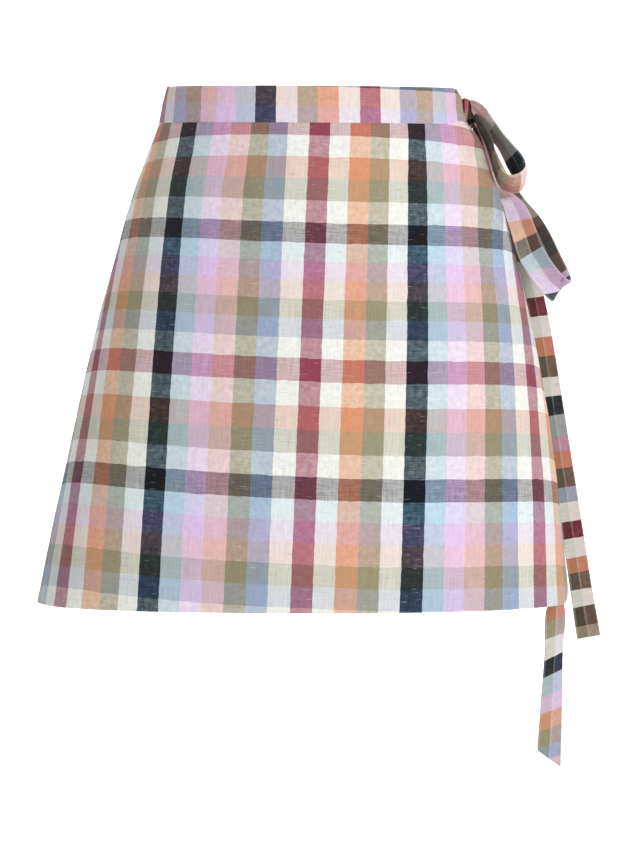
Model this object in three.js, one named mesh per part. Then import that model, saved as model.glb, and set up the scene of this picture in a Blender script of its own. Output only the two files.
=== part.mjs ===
// A wrap mini skirt in woven check cloth, standing open as when worn, with its side ties knotted in a bow.
// Millimetres. +X is the viewer's right, the front faces -Y and +Z is up.
// The origin is the middle of the waist hollow, level with the waist seam at the sides.
import * as THREE from 'three';
import { mergeVertices } from 'three/addons/utils/BufferGeometryUtils.js';

// ---------------------------------------------------------------- driving sizes

const CLOTH = 1.2; // wall of the body panels
const BAND_CLOTH = 2.2; // folded and interfaced waistband
const TIE_CLOTH = 1.6; // two layers of turned tie
const SEAM_GAP = 0.3; // clearance where two pieces are sewn together
const BAND_HEIGHT = 29;
const BAND_PROUD = 0.7; // the waistband stands this far outside the panels
const FRONT_DIP = 12.2; // the waist seam is this much lower at centre front
const BACK_RISE = 8; // and this much higher at centre back
const SIDE_DIP = 0.8; // and this much lower at the viewer's right than at the left
const HEM_LEVEL = -393;
const UNDER_HEM_RISE = 9; // the hidden lap is cut a little shorter

// Oval sections of the outer cloth face: reach to each side, depth forward and back of x = 0,
// where the widest line lies, and how square the front is (2 is an ellipse).
const SECTIONS = [
  { level: 34, left: 120.5, right: 121.5, front: 89, back: 91, side: 1, square: 2.0 },
  { level: 0, left: 128, right: 128, front: 97, back: 96, side: 0, square: 2.0 },
  { level: -25, left: 136.5, right: 139, front: 106, back: 102, side: -2, square: 2.05 },
  { level: -60, left: 148.5, right: 151, front: 119, back: 109, side: -5, square: 2.15 },
  { level: -110, left: 162, right: 164, front: 134, back: 115, side: -9, square: 2.25 },
  { level: -175, left: 178.5, right: 178.5, front: 148, back: 118, side: -15, square: 2.35 },
  { level: -260, left: 196.5, right: 192.5, front: 166, back: 116, side: -25, square: 2.4 },
  { level: -393, left: 223.5, right: 206, front: 187, back: 110, side: -38, square: 2.45 },
];
const BACK_SQUARE = 2.15;

// Soft folds that fall towards the hem: where round the body, half width in degrees, height at the hem.
const FOLD_ONSET = 1.6; // above 1 a fold grows late, towards the hem
const FOLDS = [
  { at: -58, half: 11, height: 1.8 },
  { at: -14, half: 13, height: -1.2 },
  { at: 31, half: 12, height: 1.2 },
  { at: 128, half: 13, height: 4.5 },
  { at: 161, half: 14, height: -3.5 },
  { at: 196, half: 13, height: 4 },
  { at: 229, half: 12, height: -3 },
];

// Angles round the body, 0 at centre front and 90 at the viewer's right.
const LEFT_SEAM = -93;
const RIGHT_SEAM = 94;
const FREE_EDGE = 78; // the outer lap ends here
const BAND_END = 80;
const UNDER_EDGE = -18; // the inner lap ends here
const SEAM_ANGLE = 0.18; // the seam clearance as an angle

// The outer lap stands off the inner one near its free edge.
const LIFT_START = 52;
const LIFTS = [
  { level: 0, lift: 0.2 },
  { level: -14, lift: 4.6 },
  { level: -45, lift: 4 },
  { level: -150, lift: 3.4 },
  { level: -393, lift: 3 },
];
const CORNER_ANGLE = 9; // round of the free lower corner, along the hem
const CORNER_RISE = 16;

// Depth of the inner lap's outer face below the outer face of the skirt.
const LAP_INSET_WAIST = 3.2;
const LAP_INSET_HEM = 10;
const BAND_LAP_INSET = 2.1;
const INSET_FADE_END = 185; // the back panel is out at full size from here on

const KNOT = { centre: [132.4, -2.5, 6.5], half: [3.4, 8.2, 10], round: 0.8 }; // round 1 is a ball

// Ties by their stations: middle of the strip, direction across it, width, and how far it arches.
const UPPER_LOOP = [
  { x: 130.3, y: -14.5, z: 14.5, ax: 0.41, ay: -0.76, az: 0.4, width: 8, arch: 0.5 },
  { x: 135.4, y: -17, z: 9.7, ax: 0.5, ay: -0.75, az: 0.42, width: 13, arch: 1 },
  { x: 139.8, y: -18.6, z: 4.3, ax: 0.46, ay: -0.82, az: 0.32, width: 17, arch: 1.2 },
  { x: 144.4, y: -20.4, z: -1.9, ax: 0.36, ay: -0.9, az: 0.13, width: 20, arch: 1.2 },
  { x: 150.1, y: -22.2, z: -11.2, ax: 0.34, ay: -0.9, az: 0.15, width: 21, arch: 1.2 },
  { x: 156.9, y: -23.6, z: -20.2, ax: 0.38, ay: -0.9, az: 0.1, width: 21, arch: 1.2 },
  { x: 161.6, y: -24.6, z: -27.4, ax: 0.47, ay: -0.86, az: 0.14, width: 21, arch: 1.2 },
  { x: 166.4, y: -26.5, z: -35.8, ax: 0.54, ay: -0.8, az: 0.26, width: 21, arch: 1.2 },
  { x: 170.3, y: -29.5, z: -43, ax: 0.38, ay: -0.8, az: 0.46, width: 21, arch: 1.2 },
  { x: 173.2, y: -35.5, z: -48, ax: 0.07, ay: -0.79, az: 0.6, width: 21, arch: 1.2 },
  { x: 168.3, y: -42, z: -54.3, ax: 0.04, ay: -0.73, az: 0.68, width: 21, arch: 1 },
  { x: 159.6, y: -43.5, z: -55.2, ax: 0.16, ay: -0.85, az: 0.48, width: 21, arch: 0.5 },
  { x: 153.6, y: -42.6, z: -50.8, ax: 0.14, ay: -0.9, az: 0.4, width: 19.5, arch: 0.5 },
  { x: 150.6, y: -40, z: -44.7, ax: 0.1, ay: -0.92, az: 0.39, width: 19, arch: 0.5 },
  { x: 147.6, y: -35, z: -34, ax: 0.05, ay: -0.88, az: 0.47, width: 17, arch: 0.5 },
  { x: 144.8, y: -28.3, z: -20.8, ax: 0.13, ay: -0.9, az: 0.39, width: 15.5, arch: 0.5 },
  { x: 139.4, y: -19.5, z: -7.1, ax: 0.2, ay: -0.93, az: 0.3, width: 11, arch: 0.5 },
  { x: 135.2, y: -12.8, z: 2, ax: 0.2, ay: -0.95, az: 0.2, width: 8, arch: 0.5 },
];
const LOWER_LOOP = [
  { x: 137.4, y: -2.6, z: -3.2, ax: 0.42, ay: 0.9, az: 0.1, width: 8, arch: -1 },
  { x: 140.7, y: -5, z: -11.1, ax: 0.38, ay: 0.92, az: 0.08, width: 11, arch: -1 },
  { x: 145, y: -7, z: -25.3, ax: 0.39, ay: 0.92, az: 0.06, width: 14, arch: -1 },
  { x: 150.2, y: -8, z: -41.5, ax: 0.41, ay: 0.9, az: 0.1, width: 16, arch: -1 },
  { x: 156.3, y: -10, z: -55.7, ax: 0.48, ay: 0.86, az: 0.17, width: 19, arch: -0.5 },
  { x: 165.2, y: -25, z: -71.8, ax: 0.75, ay: 0.62, az: 0.24, width: 21, arch: 0 },
  { x: 170.4, y: -44, z: -90.9, ax: 0.88, ay: 0.4, az: 0.27, width: 21, arch: 0 },
  { x: 176.4, y: -53, z: -111.6, ax: 0.89, ay: 0.18, az: 0.42, width: 21, arch: 0 },
  { x: 184.2, y: -64, z: -127, ax: 0.88, ay: 0.12, az: 0.46, width: 21, arch: 0 },
  { x: 191.7, y: -70, z: -137.8, ax: 0.8, ay: 0.08, az: 0.6, width: 21, arch: 0 },
  { x: 198, y: -68, z: -143, ax: 0.68, ay: 0.06, az: 0.73, width: 21, arch: 0 },
  { x: 198, y: -60, z: -136.5, ax: 0.68, ay: 0.12, az: 0.72, width: 21, arch: 0 },
  { x: 193, y: -46, z: -119.5, ax: 0.74, ay: 0.4, az: 0.54, width: 21, arch: 0 },
  { x: 186.5, y: -31, z: -99.7, ax: 0.74, ay: 0.53, az: 0.41, width: 21, arch: 0 },
  { x: 179, y: -12, z: -80.6, ax: 0.78, ay: 0.55, az: 0.3, width: 20, arch: 0 },
  { x: 170, y: 3, z: -64.4, ax: 0.74, ay: 0.63, az: 0.23, width: 18, arch: 0 },
  { x: 160, y: 16, z: -43.7, ax: 0.61, ay: 0.76, az: 0.22, width: 15, arch: 0 },
  { x: 149.4, y: 16.5, z: -20.4, ax: 0.63, ay: 0.75, az: 0.21, width: 11, arch: 0 },
  { x: 138.9, y: 6.4, z: 1.5, ax: 0.42, ay: 0.9, az: 0.1, width: 7, arch: 0 },
];
const OUTER_TAIL = [
  { x: 135, y: -1.6, z: -4.5, ax: 0.42, ay: 0.9, az: 0.1, width: 8, arch: 0.5 },
  { x: 142, y: 1, z: -18.7, ax: 0.42, ay: 0.9, az: 0.14, width: 12, arch: 0.5 },
  { x: 149.8, y: 0.9, z: -45.3, ax: 0.39, ay: 0.91, az: 0.1, width: 16, arch: 0.5 },
  { x: 159.7, y: -1.2, z: -73.5, ax: 0.51, ay: 0.85, az: 0.14, width: 18, arch: 0.5 },
  { x: 171.3, y: -4, z: -104.1, ax: 0.67, ay: 0.73, az: 0.17, width: 20, arch: 0.5 },
  { x: 180.2, y: -7, z: -130.9, ax: 0.75, ay: 0.64, az: 0.17, width: 20, arch: 0.6 },
  { x: 187.8, y: -9, z: -165.1, ax: 0.78, ay: 0.61, az: 0.17, width: 20, arch: 0.6 },
  { x: 200.3, y: -13, z: -245.5, ax: 0.82, ay: 0.55, az: 0.17, width: 20, arch: 0.6 },
  { x: 210.3, y: -15, z: -311.7, ax: 0.85, ay: 0.5, az: 0.17, width: 20, arch: 0.6 },
  { x: 221.6, y: -17, z: -388.5, ax: 0.89, ay: 0.43, az: 0.17, width: 20, arch: 0.6 },
  { x: 227.5, y: -18, z: -426.2, ax: 0.95, ay: 0.28, az: 0.14, width: 20, arch: 0.6 },
];
// The inner tail leaves the knot, lies on the inner lap down to the hem and then hangs free.
const INNER_TAIL_START = { x: 131.4, y: -2, z: -4.4, ax: 0.1, ay: 0.99, az: 0, width: 8, arch: 0 };
const INNER_TAIL_ON_LAP = [
  { angle: 90.5, level: -18, width: 11, arch: -0.3 },
  { angle: 90, level: -40, width: 16, arch: -0.4 },
  { angle: 87, level: -110, width: 20, arch: -0.4 },
  { angle: 84.5, level: -200, width: 20, arch: -0.4 },
  { angle: 82, level: -300, width: 20, arch: -0.4 },
  { angle: 80.5, level: -355, width: 20, arch: -0.4 },
  { angle: 80, level: -382, width: 20, arch: -0.4 },
];
const INNER_TAIL_STAND_OFF = 1.7;
const INNER_TAIL_FREE = [
  { x: 194.6, y: -70, z: -402, ax: 0.65, ay: 0.74, az: 0.17, width: 20, arch: -0.4 },
  { x: 193.2, y: -71, z: -432, ax: 0.73, ay: 0.66, az: 0.18, width: 20, arch: -0.4 },
  { x: 191.6, y: -69.5, z: -472, ax: 0.84, ay: 0.52, az: 0.14, width: 20, arch: -0.4 },
  { x: 190.1, y: -67.5, z: -512, ax: 0.93, ay: 0.35, az: 0.1, width: 20, arch: -0.4 },
  { x: 189.9, y: -67.3, z: -519.3, ax: 0.94, ay: 0.34, az: 0.1, width: 20, arch: -0.4 },
];
const INNER_TAIL_CUT = 13.5; // its end is cut on the slant, this much longer at the far side
// Short tie roots, from the waistband's free end and from the side seam to the knot.
const FRONT_ROOT = [
  { x: 128.9, y: -16.4, z: 4.2, ax: 0, ay: 0, az: 1, width: 9, arch: 0 },
  { x: 131.2, y: -12.3, z: 2, ax: 0, ay: 0, az: 1, width: 6, arch: 0 },
];
const SIDE_ROOT = [
  { x: 126.6, y: 12.9, z: 11, ax: 0, ay: 0, az: 1, width: 21, arch: 0 },
  { x: 132, y: 6.5, z: 11, ax: 0, ay: 0, az: 1, width: 14, arch: 0 },
];

const PANEL_ROWS = 12;
const BAND_ROWS = 2;
const DEGREES_PER_COLUMN = 5;
const TIE_COLUMNS = 4;
const TIE_STEP = 10; // spacing of the tie's rings

const COLOURS = {
  panel: '#cdb9b4',
  under: '#b9aeb4',
  band: '#c6a9a2',
  tie: '#c98f86',
};

// ---------------------------------------------------------------- numbers

const radians = THREE.MathUtils.degToRad;
const { lerp, clamp, smoothstep } = THREE.MathUtils;

// Reads one column of a table at a level, on a smooth curve through its rows.
function column(rows, level, key) {
  const last = rows.length - 1;
  const down = rows[0].level > rows[last].level ? -1 : 1;
  const at = clamp(level * down, rows[0].level * down, rows[last].level * down);
  let k = 0;
  while (k < last - 1 && at > rows[k + 1].level * down) k += 1;
  const slope = (i) => {
    const a = rows[Math.max(i - 1, 0)];
    const b = rows[Math.min(i + 1, last)];
    return (b[key] - a[key]) / ((b.level - a.level) * down);
  };
  const span = (rows[k + 1].level - rows[k].level) * down;
  const t = (at - rows[k].level * down) / span;
  const t2 = t * t;
  const t3 = t2 * t;
  return (
    (2 * t3 - 3 * t2 + 1) * rows[k][key]
    + (t3 - 2 * t2 + t) * span * slope(k)
    + (3 * t2 - 2 * t3) * rows[k + 1][key]
    + (t3 - t2) * span * slope(k + 1)
  );
}

// ---------------------------------------------------------------- the body's form

// Point of the outer cloth face and its level outward direction.
function section(angle, level) {
  const side = column(SECTIONS, level, 'side');
  const s = Math.sin(radians(angle));
  const c = Math.cos(radians(angle));
  const reach = column(SECTIONS, level, s < 0 ? 'left' : 'right');
  const depth = c > 0 ? column(SECTIONS, level, 'front') + side : column(SECTIONS, level, 'back') - side;
  const square = c > 0 ? column(SECTIONS, level, 'square') : BACK_SQUARE;
  const across = Math.abs(s) ** (2 / square);
  const along = Math.abs(c) ** (2 / square);
  const point = new THREE.Vector3(Math.sign(s) * reach * across, side - Math.sign(c) * depth * along, level);
  const out = new THREE.Vector3(
    (Math.sign(s) * across ** (square - 1)) / reach,
    (-Math.sign(c) * along ** (square - 1)) / depth,
    0,
  ).normalize();
  return { point, out };
}

function foldHeight(angle, level) {
  const fall = clamp(level / HEM_LEVEL, 0, 1) ** FOLD_ONSET;
  let height = 0;
  for (const fold of FOLDS) {
    const t = Math.abs(angle - fold.at) / fold.half;
    if (t < 2) height += fold.height * fall * Math.cos((t * Math.PI) / 4) ** 2;
  }
  return height;
}

function onBody(angle, level, inset) {
  const { point, out } = section(angle, level);
  const folded = (angle + 450) % 360 - 90; // -90 to 270, as the folds are listed
  return point.addScaledVector(out, foldHeight(folded, level) - inset);
}

function waistSeam(angle) {
  const c = Math.cos(radians(angle));
  return -(c > 0 ? FRONT_DIP : BACK_RISE) * c - SIDE_DIP * Math.sin(radians(angle));
}

function lapLift(angle, level) {
  return column(LIFTS, level, 'lift') * smoothstep(angle, LIFT_START, FREE_EDGE);
}

function lapInset(level) {
  return lerp(LAP_INSET_WAIST, LAP_INSET_HEM, clamp(level / HEM_LEVEL, 0, 1));
}

// 1 at the right side seam, 0 where the back panel is out at the skirt's own size.
function sideBlend(angle) {
  return 1 - smoothstep(angle, RIGHT_SEAM, INSET_FADE_END);
}

// ---------------------------------------------------------------- solids

// A closed wall between two grids of points, outer[i][j] and inner[i][j].
function closedWall(outer, inner) {
  const columns = outer.length;
  const rows = outer[0].length;
  const position = [];
  const index = [];
  const put = (grid) => {
    const base = position.length / 3;
    for (const line of grid) for (const p of line) position.push(p.x, p.y, p.z);
    return (i, j) => base + i * rows + j;
  };
  const a = put(outer);
  const b = put(inner);
  const quad = (p, q, r, s) => index.push(p, q, r, p, r, s);
  for (let i = 0; i + 1 < columns; i += 1) {
    for (let j = 0; j + 1 < rows; j += 1) {
      quad(a(i, j), a(i + 1, j), a(i + 1, j + 1), a(i, j + 1));
      quad(b(i, j), b(i, j + 1), b(i + 1, j + 1), b(i + 1, j));
    }
    quad(a(i + 1, 0), a(i, 0), b(i, 0), b(i + 1, 0));
    quad(a(i, rows - 1), a(i + 1, rows - 1), b(i + 1, rows - 1), b(i, rows - 1));
  }
  for (let j = 0; j + 1 < rows; j += 1) {
    quad(a(0, j), a(0, j + 1), b(0, j + 1), b(0, j));
    quad(a(columns - 1, j + 1), a(columns - 1, j), b(columns - 1, j), b(columns - 1, j + 1));
  }
  const geometry = new THREE.BufferGeometry();
  geometry.setAttribute('position', new THREE.Float32BufferAttribute(position, 3));
  geometry.setIndex(volumeOf(position, index) < 0 ? turned(index) : index);
  return geometry;
}

function volumeOf(position, index) {
  const corner = (k) => new THREE.Vector3().fromArray(position, index[k] * 3);
  let six = 0;
  for (let k = 0; k < index.length; k += 3) {
    six += corner(k).dot(corner(k + 1).cross(corner(k + 2)));
  }
  return six / 6;
}

function turned(index) {
  const other = [];
  for (let k = 0; k < index.length; k += 3) other.push(index[k], index[k + 2], index[k + 1]);
  return other;
}

// A wall round part of the body. top and bottom give levels, inset the depth of its outer face.
function bodyWall({ from, to, top, bottom, inset, wall, rows }) {
  const columns = Math.ceil((to - from) / DEGREES_PER_COLUMN);
  const outer = [];
  const inner = [];
  for (let i = 0; i <= columns; i += 1) {
    const angle = lerp(from, to, i / columns);
    const outerLine = [];
    const innerLine = [];
    for (let j = 0; j <= rows; j += 1) {
      const level = lerp(top(angle), bottom(angle), j / rows);
      const depth = inset(angle, level);
      outerLine.push(onBody(angle, level, depth));
      innerLine.push(onBody(angle, level, depth + wall));
    }
    outer.push(outerLine);
    inner.push(innerLine);
  }
  return closedWall(outer, inner);
}

// Smooth stations of a tie: a curve through the table's rows, cut into steps of about TIE_STEP.
function tieStations(rows) {
  const middle = new THREE.CatmullRomCurve3(rows.map((r) => new THREE.Vector3(r.x, r.y, r.z)), false, 'centripetal');
  const across = rows.map((r) => new THREE.Vector3(r.ax, r.ay, r.az).normalize());
  const steps = Math.max(rows.length, Math.round(middle.getLength() / TIE_STEP));
  const stations = [];
  for (let i = 0; i <= steps; i += 1) {
    const t = i / steps;
    const place = t * (rows.length - 1);
    const k = Math.min(Math.floor(place), rows.length - 2);
    const part = place - k;
    const ahead = middle.getTangent(t);
    const wide = across[k].clone().lerp(across[k + 1], part);
    wide.addScaledVector(ahead, -wide.dot(ahead)).normalize();
    stations.push({
      centre: middle.getPoint(t),
      ahead,
      wide,
      face: new THREE.Vector3().crossVectors(wide, ahead),
      width: lerp(rows[k].width, rows[k + 1].width, part),
      arch: lerp(rows[k].arch, rows[k + 1].arch, part),
    });
  }
  return stations;
}

// cut slants the tie's end: its far side is this much longer than its near side.
function tieWall(rows, cut = 0) {
  const outer = [];
  const inner = [];
  const stations = tieStations(rows);
  for (const { centre, ahead, wide, face, width, arch } of stations) {
    const slant = ahead === stations.at(-1).ahead ? cut / 2 : 0;
    const outerLine = [];
    const innerLine = [];
    for (let j = 0; j <= TIE_COLUMNS; j += 1) {
      const t = (2 * j) / TIE_COLUMNS - 1;
      const middle = centre.clone()
        .addScaledVector(wide, (t * width) / 2)
        .addScaledVector(face, arch * (1 - t * t))
        .addScaledVector(ahead, t * slant);
      outerLine.push(middle.clone().addScaledVector(face, TIE_CLOTH / 2));
      innerLine.push(middle.clone().addScaledVector(face, -TIE_CLOTH / 2));
    }
    outer.push(outerLine);
    inner.push(innerLine);
  }
  return closedWall(outer, inner);
}

// The knot: a rounded block, squarer than a ball.
function knotSolid() {
  const geometry = new THREE.SphereGeometry(1, 16, 10);
  geometry.deleteAttribute('normal');
  geometry.deleteAttribute('uv');
  const merged = mergeVertices(geometry);
  const place = merged.getAttribute('position');
  const [hx, hy, hz] = KNOT.half;
  const swell = (v) => Math.sign(v) * Math.abs(v) ** KNOT.round;
  for (let i = 0; i < place.count; i += 1) {
    place.setXYZ(
      i,
      KNOT.centre[0] + hx * swell(place.getX(i)),
      KNOT.centre[1] + hy * swell(place.getY(i)),
      KNOT.centre[2] + hz * swell(place.getZ(i)),
    );
  }
  return merged;
}

// ---------------------------------------------------------------- pieces

const skirt = new THREE.Group();

function add(name, geometry, colour) {
  const material = new THREE.MeshStandardMaterial({ color: colour, roughness: 0.85, metalness: 0 });
  const mesh = new THREE.Mesh(geometry, material);
  mesh.name = name;
  skirt.add(mesh);
}

const belowBand = (angle) => waistSeam(angle) - SEAM_GAP;
const bandTop = (angle) => waistSeam(angle) + BAND_HEIGHT;

// The free lower corner of the outer lap is cut round.
function frontHem(angle) {
  const t = clamp((angle - (FREE_EDGE - CORNER_ANGLE)) / CORNER_ANGLE, 0, 1);
  return HEM_LEVEL + CORNER_RISE * (1 - Math.sqrt(1 - t * t));
}

add('front_panel', bodyWall({
  from: LEFT_SEAM + SEAM_ANGLE / 2,
  to: FREE_EDGE,
  top: belowBand,
  bottom: frontHem,
  inset: (angle, level) => -lapLift(angle, level),
  wall: CLOTH,
  rows: PANEL_ROWS,
}), COLOURS.panel);

add('under_panel', bodyWall({
  from: UNDER_EDGE,
  to: RIGHT_SEAM - SEAM_ANGLE / 2,
  top: belowBand,
  bottom: () => HEM_LEVEL + UNDER_HEM_RISE,
  inset: (angle, level) => lapInset(level),
  wall: CLOTH,
  rows: PANEL_ROWS,
}), COLOURS.under);

add('back_panel', bodyWall({
  from: RIGHT_SEAM + SEAM_ANGLE / 2,
  to: LEFT_SEAM + 360 - SEAM_ANGLE / 2,
  top: belowBand,
  bottom: () => HEM_LEVEL,
  inset: (angle, level) => lapInset(level) * sideBlend(angle),
  wall: CLOTH,
  rows: PANEL_ROWS,
}), COLOURS.panel);

add('waistband_front', bodyWall({
  from: LEFT_SEAM + SEAM_ANGLE / 2,
  to: BAND_END,
  top: bandTop,
  bottom: waistSeam,
  inset: () => -BAND_PROUD,
  wall: BAND_CLOTH,
  rows: BAND_ROWS,
}), COLOURS.band);

add('waistband_under', bodyWall({
  from: UNDER_EDGE,
  to: RIGHT_SEAM - SEAM_ANGLE / 2,
  top: bandTop,
  bottom: waistSeam,
  inset: () => BAND_LAP_INSET,
  wall: BAND_CLOTH,
  rows: BAND_ROWS,
}), COLOURS.band);

add('waistband_back', bodyWall({
  from: RIGHT_SEAM + SEAM_ANGLE / 2,
  to: LEFT_SEAM + 360 - SEAM_ANGLE / 2,
  top: bandTop,
  bottom: waistSeam,
  inset: (angle) => lerp(-BAND_PROUD, BAND_LAP_INSET, sideBlend(angle)),
  wall: BAND_CLOTH,
  rows: BAND_ROWS,
}), COLOURS.band);

const onLap = INNER_TAIL_ON_LAP.map(({ angle, level, width, arch }) => {
  const middle = onBody(angle, level, lapInset(level) - INNER_TAIL_STAND_OFF);
  const { out } = section(angle, level);
  return { x: middle.x, y: middle.y, z: middle.z, ax: -out.y, ay: out.x, az: 0, width, arch };
});

add('tie_knot', knotSolid(), COLOURS.tie);
add('tie_root_front', tieWall(FRONT_ROOT), COLOURS.tie);
add('tie_root_side', tieWall(SIDE_ROOT), COLOURS.tie);
add('tie_loop_upper', tieWall(UPPER_LOOP), COLOURS.tie);
add('tie_loop_lower', tieWall(LOWER_LOOP), COLOURS.tie);
add('tie_tail_outer', tieWall(OUTER_TAIL), COLOURS.tie);
add(
  'tie_tail_inner',
  tieWall([INNER_TAIL_START, ...onLap, ...INNER_TAIL_FREE], INNER_TAIL_CUT),
  COLOURS.tie,
);

export default skirt;
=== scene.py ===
"""A wrap mini skirt in woven check cloth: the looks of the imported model.

Sizes are in millimetres until a mesh is made; the camera, lights and floor are in metres. +X is the viewer's
right, the front faces -Y and +Z is up. Angles go round the body in degrees, 0 at centre front and 90 at the right.
"""
import math

import bpy
import numpy as np
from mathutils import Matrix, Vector


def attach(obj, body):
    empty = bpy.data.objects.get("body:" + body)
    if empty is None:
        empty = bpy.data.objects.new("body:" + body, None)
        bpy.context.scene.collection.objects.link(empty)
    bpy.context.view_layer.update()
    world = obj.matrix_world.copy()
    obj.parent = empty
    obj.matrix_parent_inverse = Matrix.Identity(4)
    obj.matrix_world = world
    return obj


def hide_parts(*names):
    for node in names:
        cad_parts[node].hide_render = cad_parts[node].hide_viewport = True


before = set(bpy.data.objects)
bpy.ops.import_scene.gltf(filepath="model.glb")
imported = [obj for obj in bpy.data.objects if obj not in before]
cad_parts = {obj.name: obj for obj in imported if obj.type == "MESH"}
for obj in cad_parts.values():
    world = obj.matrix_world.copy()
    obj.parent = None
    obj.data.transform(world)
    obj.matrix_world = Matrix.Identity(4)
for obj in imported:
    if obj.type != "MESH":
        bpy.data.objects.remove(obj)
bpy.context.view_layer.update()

MM = 0.001

# -------- the skirt's form, as the CAD has it

CLOTH = 1.0  # thickness of the panels' wall
BAND_CLOTH = 2.2
TIE_CLOTH = 1.6
BAND_HEIGHT = 29
BAND_PROUD = 0.7  # the band stands this far out from the body's form
FRONT_DIP = 12.2  # the waist seam is this much lower at centre front
BACK_RISE = 8
SIDE_DIP = 0.8
HEM_LEVEL = -393
UNDER_HEM_RISE = 9  # the inner lap's hem is this much higher

# The body's section at each level: how far it reaches to the sides, front and back, the Y of its widest points,
# and the power that squares its front half.
SECTIONS = [
    {"level": 34, "left": 120.5, "right": 121.5, "front": 89, "back": 91, "side": 1, "square": 2.0},
    {"level": 0, "left": 128, "right": 128, "front": 97, "back": 96, "side": 0, "square": 2.0},
    {"level": -25, "left": 136.5, "right": 139, "front": 106, "back": 102, "side": -2, "square": 2.05},
    {"level": -60, "left": 148.5, "right": 151, "front": 119, "back": 109, "side": -5, "square": 2.15},
    {"level": -110, "left": 162, "right": 164, "front": 134, "back": 115, "side": -9, "square": 2.25},
    {"level": -175, "left": 178.5, "right": 178.5, "front": 148, "back": 118, "side": -15, "square": 2.35},
    {"level": -260, "left": 196.5, "right": 192.5, "front": 166, "back": 116, "side": -25, "square": 2.4},
    {"level": -393, "left": 223.5, "right": 206, "front": 187, "back": 110, "side": -38, "square": 2.45},
]
BACK_SQUARE = 2.15

FOLD_ONSET = 1.6  # above 1, the folds grow slowly at first
# Folds that grow from the waist to the hem: where, half their width in degrees, and their height.
FOLDS = [
    {"at": -58, "half": 11, "height": 1.8},
    {"at": -14, "half": 13, "height": -1.2},
    {"at": 31, "half": 12, "height": 1.2},
    {"at": 128, "half": 13, "height": 4.5},
    {"at": 161, "half": 14, "height": -3.5},
    {"at": 196, "half": 13, "height": 4},
    {"at": 229, "half": 12, "height": -3},
]

# Seams and edges, in degrees round the body.
LEFT_SEAM = -93
RIGHT_SEAM = 94
FREE_EDGE = 78
BAND_END = 80
UNDER_EDGE = -18
SEAM_ANGLE = 0.18  # the gap at a side seam
FRONT_START = LEFT_SEAM + SEAM_ANGLE / 2
UNDER_END = RIGHT_SEAM - SEAM_ANGLE / 2
BACK_START = RIGHT_SEAM + SEAM_ANGLE / 2
BACK_END = LEFT_SEAM + 360 - SEAM_ANGLE / 2

# How far the front lap stands off the body at its free edge; it stands off less towards LIFT_START.
LIFT_START = 52
LIFTS = [
    {"level": 0, "lift": 0.2},
    {"level": -14, "lift": 4.6},
    {"level": -45, "lift": 4},
    {"level": -150, "lift": 3.4},
    {"level": -393, "lift": 3},
]
CORNER_ANGLE = 9  # the front's lower corner is cut round over this angle and height
CORNER_RISE = 16
LAP_INSET_WAIST = 3.2  # the inner lap lies this far inside the body's form
LAP_INSET_HEM = 10
BAND_LAP_INSET = 2.1
INSET_FADE_END = 185  # the back comes out to the body's form from the right seam to here

KNOT = {"centre": (132.4, -2.5, 6.5), "half": (3.4, 8.2, 10), "round": 0.8}

# Stations of a tie: its middle, the direction across it, its width and how far it arches.
UPPER_LOOP = [
    (130.3, -14.5, 14.5, 0.41, -0.76, 0.4, 8, 0.5),
    (135.4, -17, 9.7, 0.5, -0.75, 0.42, 13, 1),
    (139.8, -18.6, 4.3, 0.46, -0.82, 0.32, 17, 1.2),
    (144.4, -20.4, -1.9, 0.36, -0.9, 0.13, 20, 1.2),
    (150.1, -22.2, -11.2, 0.34, -0.9, 0.15, 21, 1.2),
    (156.9, -23.6, -20.2, 0.38, -0.9, 0.1, 21, 1.2),
    (161.6, -24.6, -27.4, 0.47, -0.86, 0.14, 21, 1.2),
    (166.4, -26.5, -35.8, 0.54, -0.8, 0.26, 21, 1.2),
    (170.3, -29.5, -43, 0.38, -0.8, 0.46, 21, 1.2),
    (173.2, -35.5, -48, 0.07, -0.79, 0.6, 21, 1.2),
    (168.3, -42, -54.3, 0.04, -0.73, 0.68, 21, 1),
    (159.6, -43.5, -55.2, 0.16, -0.85, 0.48, 21, 0.5),
    (153.6, -42.6, -50.8, 0.14, -0.9, 0.4, 19.5, 0.5),
    (150.6, -40, -44.7, 0.1, -0.92, 0.39, 19, 0.5),
    (147.6, -35, -34, 0.05, -0.88, 0.47, 17, 0.5),
    (144.8, -28.3, -20.8, 0.13, -0.9, 0.39, 15.5, 0.5),
    (139.4, -19.5, -7.1, 0.2, -0.93, 0.3, 11, 0.5),
    (135.2, -12.8, 2, 0.2, -0.95, 0.2, 8, 0.5),
]
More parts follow.
